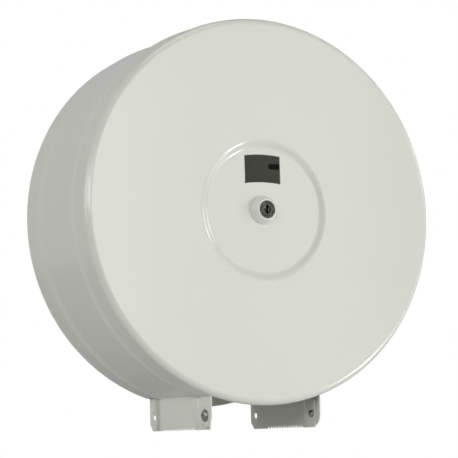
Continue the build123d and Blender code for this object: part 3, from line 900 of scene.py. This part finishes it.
# %% Copy trees
def copies_tree(name, ring):
    """A tree that repeats its mesh, turned round the Y axis if ring is true, or else step by step."""
    inputs = [("Geometry", "Geometry"), ("count", "Int")]
    if not ring:
        inputs.append(("step", "Vector"))
    tree, given = new_tree(name, inputs)
    step = (0, 0, 0) if ring else given["step"]
    points = add(tree, "GeometryNodeMeshLine", {"Count": given["count"], "Offset": step})
    copies = add(tree, "GeometryNodeInstanceOnPoints",
                 {"Points": points.outputs[0], "Instance": given["Geometry"]})
    if ring:
        index = add(tree, "GeometryNodeInputIndex").outputs[0]
        share = maths(tree, "DIVIDE", index, given["count"])
        turn = add(tree, "ShaderNodeCombineXYZ", {"Y": maths(tree, "MULTIPLY", share, -2 * math.pi)})
        tree.links.new(turn.outputs[0], copies.inputs["Rotation"])
    return hand_over(tree, given, copies.outputs[0])


row_of_copies = copies_tree("row_of_copies", ring=False)
ring_of_copies = copies_tree("ring_of_copies", ring=True)


def repeat(piece, name, tree, finish, **sizes):
    """Replace a piece by its copies, as a plain mesh with one finish."""
    if not piece.data.materials:
        piece.data.materials.append(finish)
    repeated = grow(name, tree, sizes, finish, mesh=piece.data)
    bpy.data.objects.remove(piece)
    settle(repeated)
    return repeated


# %% [markdown]
# ## Tear brackets
# Each bracket is one plate with its two ends joggled inwards, so that the hinge ear lies flush
# with it. Seen from above it is a bent line as thick as the sheet, and seen from the side it has
# a plain outline, so the plate is where those two blocks meet. Fourteen notches make the teeth.
# A curved flange, welded inside the ring, carries the plate. The left bracket is its mirror image.

# %% Bracket sizes
bracket_low, bracket_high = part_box("right_tear_bracket")
plate_inner_x = plate_outer_x - sheet
joggle_length = 14.5 * MM
joggle_run = 5.0 * MM
rear_joggle_length = 12.0 * MM
rear_joggle_run = 9.0 * MM
joggle_bend = 6.0 * MM
plate_corner = 0.8 * MM
rear_chamfer = 5.2 * MM
notch_gap = 0.6 * MM
notch_height = 4.2 * MM
hinge_y = frame["joints"][0]["pos_m"][1]
hinge_z = frame["joints"][0]["pos_m"][2]
ear_radius = 9.4 * MM
ear_front_flare = 0.5 * MM
ear_rear_flare = 1.7 * MM
ear_rear_y = hinge_y + ear_radius + ear_rear_flare
spare_hole_y = bracket_high.y - 8.2 * MM
rivet_hole = 2.45 * MM
weld_flange_length = 12.0 * MM
weld_flange_setback = 5.0 * MM


def drop_on_circle(radius, x):
    """How far below the axis a circle of this radius lies at the sideways distance x."""
    return math.sqrt(radius**2 - x**2)


def flange_block(name, outer_radius, length, start_y, end_y):
    """A strip of sheet that follows the drum sideways from the plate."""
    start = math.asin((plate_inner_x + sheet / 2) / outer_radius) - math.pi / 2
    end = start + length / outer_radius
    outline = arc((0, 0), outer_radius, start, end, 8) + arc((0, 0), outer_radius - sheet, end, start, 8)
    return block(name, outline, "y", start_y, end_y)


def hole_block(y, radius):
    """The block that drills a hole across the bracket at the hinge's height."""
    return block("hole_block", circle((y, hinge_z), radius, 32), "x", 0, 2 * plate_outer_x)


# %% Bracket blank
weld_flange_radius = wall_radius - sheet - seat_gap
plate_top = -drop_on_circle(weld_flange_radius - sheet, plate_inner_x)
notch_y = ear_rear_y + notch_gap
notch_z = -drop_on_circle(wall_radius, plate_outer_x) - notch_height
joggled_x = plate_outer_x - joggle

plan_line = rounded([
    (joggled_x, bracket_low.y),
    (joggled_x, bracket_low.y + joggle_length),
    (plate_outer_x, bracket_low.y + joggle_length + joggle_run),
    (plate_outer_x, bracket_high.y - rear_joggle_length - rear_joggle_run),
    (joggled_x, bracket_high.y - rear_joggle_length),
    (joggled_x, bracket_high.y),
], joggle_bend, closed=False, step=math.radians(4))
side_outline = rounded([
    (bracket_low.y, notch_z),
    (bracket_low.y, bracket_low.z),
    (bracket_high.y - rear_chamfer, bracket_low.z),
    (bracket_high.y, bracket_low.z + rear_chamfer),
    (bracket_high.y, plate_top),
    (notch_y, plate_top),
    (notch_y, notch_z),
], plate_corner)
plan_outline = thickened(plan_line, sheet)
bracket = block("right_bracket", plan_outline, "z", bracket_low.z - overrun, plate_top + overrun)
side = block("side_block", side_outline, "x", 0, 2 * plate_outer_x)
combine(bracket, side, how="INTERSECT")

# %% Teeth
tooth_count = 14
tooth_pitch = 4.2 * MM
tooth_depth = 2.2 * MM
tooth_tip = 0.4 * MM
tooth_gap_floor = 0.5 * MM
teeth_start = bracket_low.y + 22.0 * MM

gap_end = teeth_start + tooth_pitch - tooth_tip
tooth_flank = (tooth_pitch - tooth_tip - tooth_gap_floor) / 2
tooth_gap = block("tooth_gap", [
    (teeth_start, bracket_low.z - overrun),
    (gap_end, bracket_low.z - overrun),
    (gap_end, bracket_low.z),
    (gap_end - tooth_flank, bracket_low.z + tooth_depth),
    (teeth_start + tooth_flank, bracket_low.z + tooth_depth),
    (teeth_start, bracket_low.z),
], "x", 0, 2 * plate_outer_x)
teeth = repeat(tooth_gap, "tooth_gaps", row_of_copies, powder_coat,
               count=tooth_count, step=(0, tooth_pitch, 0))
holes = [hole_block(hinge_y, rivet_hole), hole_block(spare_hole_y, rivet_hole)]
combine(bracket, teeth, *holes)
flange = flange_block("bracket_flange", weld_flange_radius, weld_flange_length,
                      lip_end_y + weld_flange_setback, flare_start_y - bend)
combine(bracket, flange, how="UNION")
settle(bracket, side, teeth, *holes, flange)
soften(bracket, width=0.12 * MM)


def stands_on_both_sides(piece, node):
    """Let a piece stand for the right one of a pair of nodes, and its mirror image for the left."""
    stands_for(piece, "right_" + node)
    name = piece.name.replace("right", "left")
    mesh = piece.data.copy()
    mesh.name = name
    mesh.transform(Matrix.Scale(-1, 4, (1, 0, 0)))
    mesh.flip_normals()
    stands_for(new_object(name, mesh), "left_" + node)


stands_on_both_sides(bracket, "tear_bracket")

# %% [markdown]
# ## Hinge ears and rivets
# The cover hangs on two round ended ears that are welded inside its band. A blind rivet goes
# through each ear and the bracket behind it: a low domed head with the hole that the mandrel
# leaves, a shank, and a swollen tail inside. The rivet is a spun solid, turned to lie along X.

# %% Hinge ears
ear_flange_radius = drum_radius - sheet - seat_gap
ear_flange_length = 11.0 * MM
ear_top = -drop_on_circle(ear_flange_radius - sheet, plate_inner_x)

ear_outline = [Vector((ear_rear_y, ear_top)), Vector((hinge_y - ear_radius - ear_front_flare, ear_top))]
ear_outline += arc((hinge_y, hinge_z), ear_radius, math.pi, 2 * math.pi, 36)
ear = block("right_ear", ear_outline, "x", plate_inner_x, plate_outer_x)
ear_hole = hole_block(hinge_y, rivet_hole)
combine(ear, ear_hole)
ear_flange = flange_block("ear_flange", ear_flange_radius, ear_flange_length,
                          hinge_y - ear_radius, hinge_y + ear_radius)
combine(ear, ear_flange, how="UNION")
settle(ear, ear_hole, ear_flange)
soften(ear, width=0.15 * MM)
stands_on_both_sides(ear, "hinge_ear")

# %% Hinge rivets
rivet_corners = [
    (None, "mandrel floor", None),
    ("mandrel radius", "mandrel floor", None),
    ("mandrel radius", "head tip", "small bend"),
    ("crown radius", "head tip", "crown bend"),
    ("head radius", "head edge", "small bend"),
    ("head radius", "seat", None),
    ("shank radius", "seat", None),
    ("shank radius", "back", None),
    ("tail radius", "back", "small bend"),
    ("tail radius", "tail swell", "tail bend"),
    ("mandrel radius", "tail end", "small bend"),
    (None, "tail end", None),
]
seat_x = plate_outer_x + seat_gap
back_x = plate_inner_x - joggle
rivet_sizes = {
    "mandrel radius": 1.2 * MM,
    "crown radius": 3.3 * MM,
    "head radius": 4.75 * MM,
    "shank radius": 2.4 * MM,
    "tail radius": 3.0 * MM,
    "mandrel floor": -(seat_x + 1.2 * MM),
    "head tip": -(seat_x + 2.2 * MM),
    "head edge": -(seat_x + 0.6 * MM),
    "seat": -seat_x,
    "back": -back_x,
    "tail swell": -(back_x - 1.3 * MM),
    "tail end": -(back_x - 2.6 * MM),
    "small bend": 0.2 * MM,
    "crown bend": 2.2 * MM,
    "tail bend": 1.0 * MM,
}
rivet_tree = spun_tree("spun_rivet", rivet_corners, turns=64, bend_steps=6)
rivet = grow("right_rivet", rivet_tree, rivet_sizes, rivet_metal)
settle(rivet)
rivet.data.transform(Matrix.Translation((0, hinge_y, hinge_z)) @ Matrix.Rotation(math.pi / 2, 4, "Z"))
soften(rivet, width=0.06 * MM)
stands_on_both_sides(rivet, "hinge_rivet")

# %% [markdown]
# ## Spindle hardware
# Four domed rivets hold the spindle's flange on the raised middle of the pan, and six grub
# screws with hexagon sockets hold the tube on its collars. Each is made once and repeated.

# %% Spindle rivets
base_front_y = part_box("spindle_tube")[1].y
spindle_rivet_corners = [
    (None, "head tip", None),
    ("crown radius", "head tip", "crown bend"),
    ("head radius", "head edge", "small bend"),
    ("head radius", "seat", None),
    ("shank radius", "seat", None),
    ("shank radius", "back", None),
    ("tail radius", "back", "small bend"),
    ("tail radius", "tail end", "small bend"),
    (None, "tail end", None),
]
spindle_rivet_sizes = {
    "crown radius": 2.6 * MM,
    "head radius": 4.0 * MM,
    "shank radius": 2.0 * MM,
    "tail radius": 2.9 * MM,
    "head tip": base_front_y - 1.6 * MM,
    "head edge": base_front_y - 0.4 * MM,
    "seat": base_front_y,
    "back": -plateau_rise,
    "tail end": -plateau_rise + 1.4 * MM,
    "crown bend": 1.6 * MM,
    "small bend": 0.2 * MM,
}
spindle_rivet_tree = spun_tree("spun_spindle_rivet", spindle_rivet_corners, turns=40, bend_steps=5)
spindle_rivet = grow("one_spindle_rivet", spindle_rivet_tree, spindle_rivet_sizes, rivet_metal)
settle(spindle_rivet)
spindle_rivet.data.transform(Matrix.Translation((rivet_circle, 0, 0)))
soften(spindle_rivet, width=0.06 * MM)
spindle_rivets = repeat(spindle_rivet, "spindle_rivets", ring_of_copies, rivet_metal, count=4)
spindle_rivets.data.shade_smooth()
stands_for(spindle_rivets, "spindle_rivets")

# %% Grub screws
grub_low, grub_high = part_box("spindle_grub_screws")
grub_radius = 1.5 * MM
grub_foot = 19.2 * MM
socket_radius = 0.8 * MM
socket_depth = 1.2 * MM
grub_row = grub_low.y + grub_radius
grub_step = grub_high.y - grub_low.y - 2 * grub_radius

grub = block("grub_screw", circle((0, grub_row), grub_radius, 40), "z", grub_foot, grub_high.z)
socket = block("socket", circle((0, grub_row), socket_radius, 6),
               "z", grub_high.z - socket_depth, grub_high.z + overrun)
combine(grub, socket)
settle(grub, socket)
soften(grub, width=0.08 * MM)
grub_ring = repeat(grub, "grub_screw_ring", ring_of_copies, zinc_plate, count=3)
grub_rows = repeat(grub_ring, "grub_screws", row_of_copies, zinc_plate,
                   count=2, step=(0, grub_step, 0))
grub_rows.data.shade_smooth()
stands_for(grub_rows, "spindle_grub_screws")

# %% [markdown]
# ## Lock
# The lock is the one dark detail of the front, so it gets the most points for its size. The
# collar is a spun ring, the housing shows a crowned ring of worn plating, and the plug's face is
# dished round the keyway, which is what catches a crescent of light beside it.

# %% Collar
collar_corners = [
    ("bore", "foot", None),
    ("foot radius", "foot", None),
    ("foot radius", "foot edge", "foot bend"),
    ("tip radius", "tip", "tip bend"),
    ("seat radius", "tip", None),
    ("seat radius", "seat", None),
    ("bore", "seat", None),
    ("bore", "foot", None),
]
collar_low, collar_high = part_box("lock_escutcheon")
tip_y = collar_low.y
head_back_y = tip_y + 1.8 * MM
collar_sizes = {
    "bore": 6.1 * MM,
    "foot radius": collar_high.x,
    "tip radius": 8.3 * MM,
    "seat radius": 7.0 * MM,
    "foot": collar_high.y,
    "foot edge": collar_high.y - 0.8 * MM,
    "tip": tip_y,
    "seat": head_back_y,
    "foot bend": 0.8 * MM,
    "tip bend": 0.8 * MM,
}
collar_tree = spun_tree("spun_collar", collar_corners, turns=128, bend_steps=7)
collar = grow("lock_collar", collar_tree, collar_sizes, collar_plastic)
complete(collar, "lock_escutcheon", width=0.12 * MM)

# %% Lock housing
housing_corners = [
    ("bore", "body end", None),
    ("bore", "plug seat", None),
    ("face bore", "plug seat", None),
    ("face bore", "tip", "rim bend"),
    ("head radius", "tip", "rim bend"),
    ("head radius", "head back", None),
    ("body radius", "head back", None),
    ("body radius", "body end", None),
    ("bore", "body end", None),
]
body_end_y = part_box("lock_housing")[1].y
housing_sizes = {
    "bore": 4.25 * MM,
    "face bore": 5.05 * MM,
    "head radius": 6.9 * MM,
    "body radius": 6.0 * MM,
    "tip": tip_y,
    "plug seat": tip_y + 0.85 * MM,
    "head back": head_back_y,
    "body end": body_end_y,
    "rim bend": 0.45 * MM,
}
housing_tree = spun_tree("spun_housing", housing_corners, turns=128, bend_steps=6)
housing = grow("lock_body", housing_tree, housing_sizes, worn_plating)
body_flats = 10 * MM
keep_size = 20 * MM
flat_block = centred_block("flat_block", body_flats, keep_size, head_back_y, body_end_y + overrun)
keep_block = centred_block("keep_block", keep_size, keep_size, front_y - keep_size / 2, head_back_y)
combine(flat_block, keep_block, how="UNION")
settle(flat_block, keep_block)
combine(housing, flat_block, how="INTERSECT")
complete(housing, "lock_housing", flat_block, width=0.08 * MM)

# %% Lock plug
keyway_width = 1.9 * MM
keyway_height = 7.4 * MM
keyway_depth = 9.8 * MM
plug_radius = 4.2 * MM
cam_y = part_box("lock_cam")[0].y
tail_end_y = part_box("lock_cam")[1].y
plug_end_y = front_y + 12.4 * MM
clip_y = body_end_y + seat_gap
wafer_low, wafer_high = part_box("lock_wafers")
wafer_thickness = 0.7 * MM
wafer_pitch = 1.9 * MM
wafer_count = 4
tail_width = 4.4 * MM
screw_hole_radius = 1.25 * MM
screw_hole_depth = 5.0 * MM

plug_corners = [
    (None, "dish floor", None),
    ("dish foot", "dish floor", "dish bend"),
    ("dish rim", "tip", "rim bend"),
    ("face radius", "tip", "rim bend"),
    ("face radius", "face back", None),
    ("plug radius", "face back", None),
    ("plug radius", "groove start", None),
    ("neck radius", "groove start", None),
    ("neck radius", "groove end", None),
    ("plug radius", "groove end", None),
    ("plug radius", "plug end", None),
    ("neck radius", "plug end", None),
    ("neck radius", "cam seat", None),
    (None, "cam seat", None),
]
plug_sizes = {
    "dish foot": 1.9 * MM,
    "dish rim": 3.1 * MM,
    "face radius": 5.0 * MM,
    "plug radius": plug_radius,
    "neck radius": 3.4 * MM,
    "tip": tip_y,
    "dish floor": tip_y + 0.6 * MM,
    "face back": tip_y + 0.8 * MM,
    "groove start": clip_y,
    "groove end": clip_y + 0.7 * MM,
    "plug end": plug_end_y,
    "cam seat": cam_y,
    "dish bend": 0.5 * MM,
    "rim bend": 0.25 * MM,
}
plug_tree = spun_tree("spun_plug", plug_corners, turns=96, bend_steps=5)
plug = grow("keyed_plug", plug_tree, plug_sizes, worn_plating)
tail = centred_block("tail", tail_width, tail_width, cam_y - overrun, tail_end_y)
bore = block("bore", circle((0, 0), screw_hole_radius, 24),
             "y", tail_end_y - screw_hole_depth, tail_end_y + overrun)
keyway = centred_block("keyway", keyway_width, keyway_height, tip_y - overrun, tip_y + keyway_depth)
wafer_width = wafer_high.x - wafer_low.x
wafer_slot = centred_block("wafer_slot", wafer_width + 2 * seat_gap, 2 * plug_radius + overrun,
                           wafer_low.y - seat_gap, wafer_low.y + wafer_thickness + seat_gap)
wafer_slots = repeat(wafer_slot, "wafer_slots", row_of_copies, worn_plating,
                     count=wafer_count, step=(0, wafer_pitch, 0))
combine(plug, tail, how="UNION")
combine(plug, bore, keyway, wafer_slots)
complete(plug, "lock_plug", tail, bore, keyway, wafer_slots, width=0.07 * MM)

# %% Wafers
window_width = 1.7 * MM
window_height = 4.8 * MM
wafer_end_y = wafer_low.y + wafer_thickness
wafer = centred_block("wafer", wafer_width, wafer_high.z - wafer_low.z, wafer_low.y, wafer_end_y)
wafer_window = centred_block("wafer_window", window_width, window_height,
                             wafer_low.y - overrun, wafer_low.y + 2 * overrun)
combine(wafer, wafer_window)
settle(wafer, wafer_window)
soften(wafer, width=0.06 * MM)
wafers = repeat(wafer, "wafers", row_of_copies, wafer_brass,
                count=wafer_count, step=(0, wafer_pitch, 0))
wafers.data.shade_smooth()
stands_for(wafers, "lock_wafers")

# %% [markdown]
# ## Turned and stamped hardware
# The rest of the hardware has the right shape in the frame already. What it lacks is a broken
# edge. A copy of each mesh is merged, its coplanar faces are joined, and its edges are rounded
# like the others, which also gives it the edge value that the metal wear and the coat's painted highlight read.


# %% Softened hardware
def softened_copy(node, name, width):
    """A copy of a frame node with its edges rounded, in place of the node."""
    mesh = frame["nodes"][node].data.copy()
    mesh.name = name
    piece = new_object(name, mesh)
    soften(piece, width)
    stands_for(piece, node)


hardware = {
    "spindle_base": ("flanged_collar", 0.2 * MM),
    "spindle_tube": ("roll_tube", 0.2 * MM),
    "spindle_cap": ("keeper_cap", 0.2 * MM),
    "hinge_washers": ("ear_washers", 0.08 * MM),
    "lock_washer": ("flat_washer", 0.1 * MM),
    "lock_nut": ("hexagon_nut", 0.15 * MM),
    "plug_clip": ("spring_clip", 0.08 * MM),
    "lock_cam": ("cam_plate", 0.15 * MM),
    "cam_screw": ("slotted_screw", 0.12 * MM),
}
for node, (name, width) in hardware.items():
    softened_copy(node, name, width)
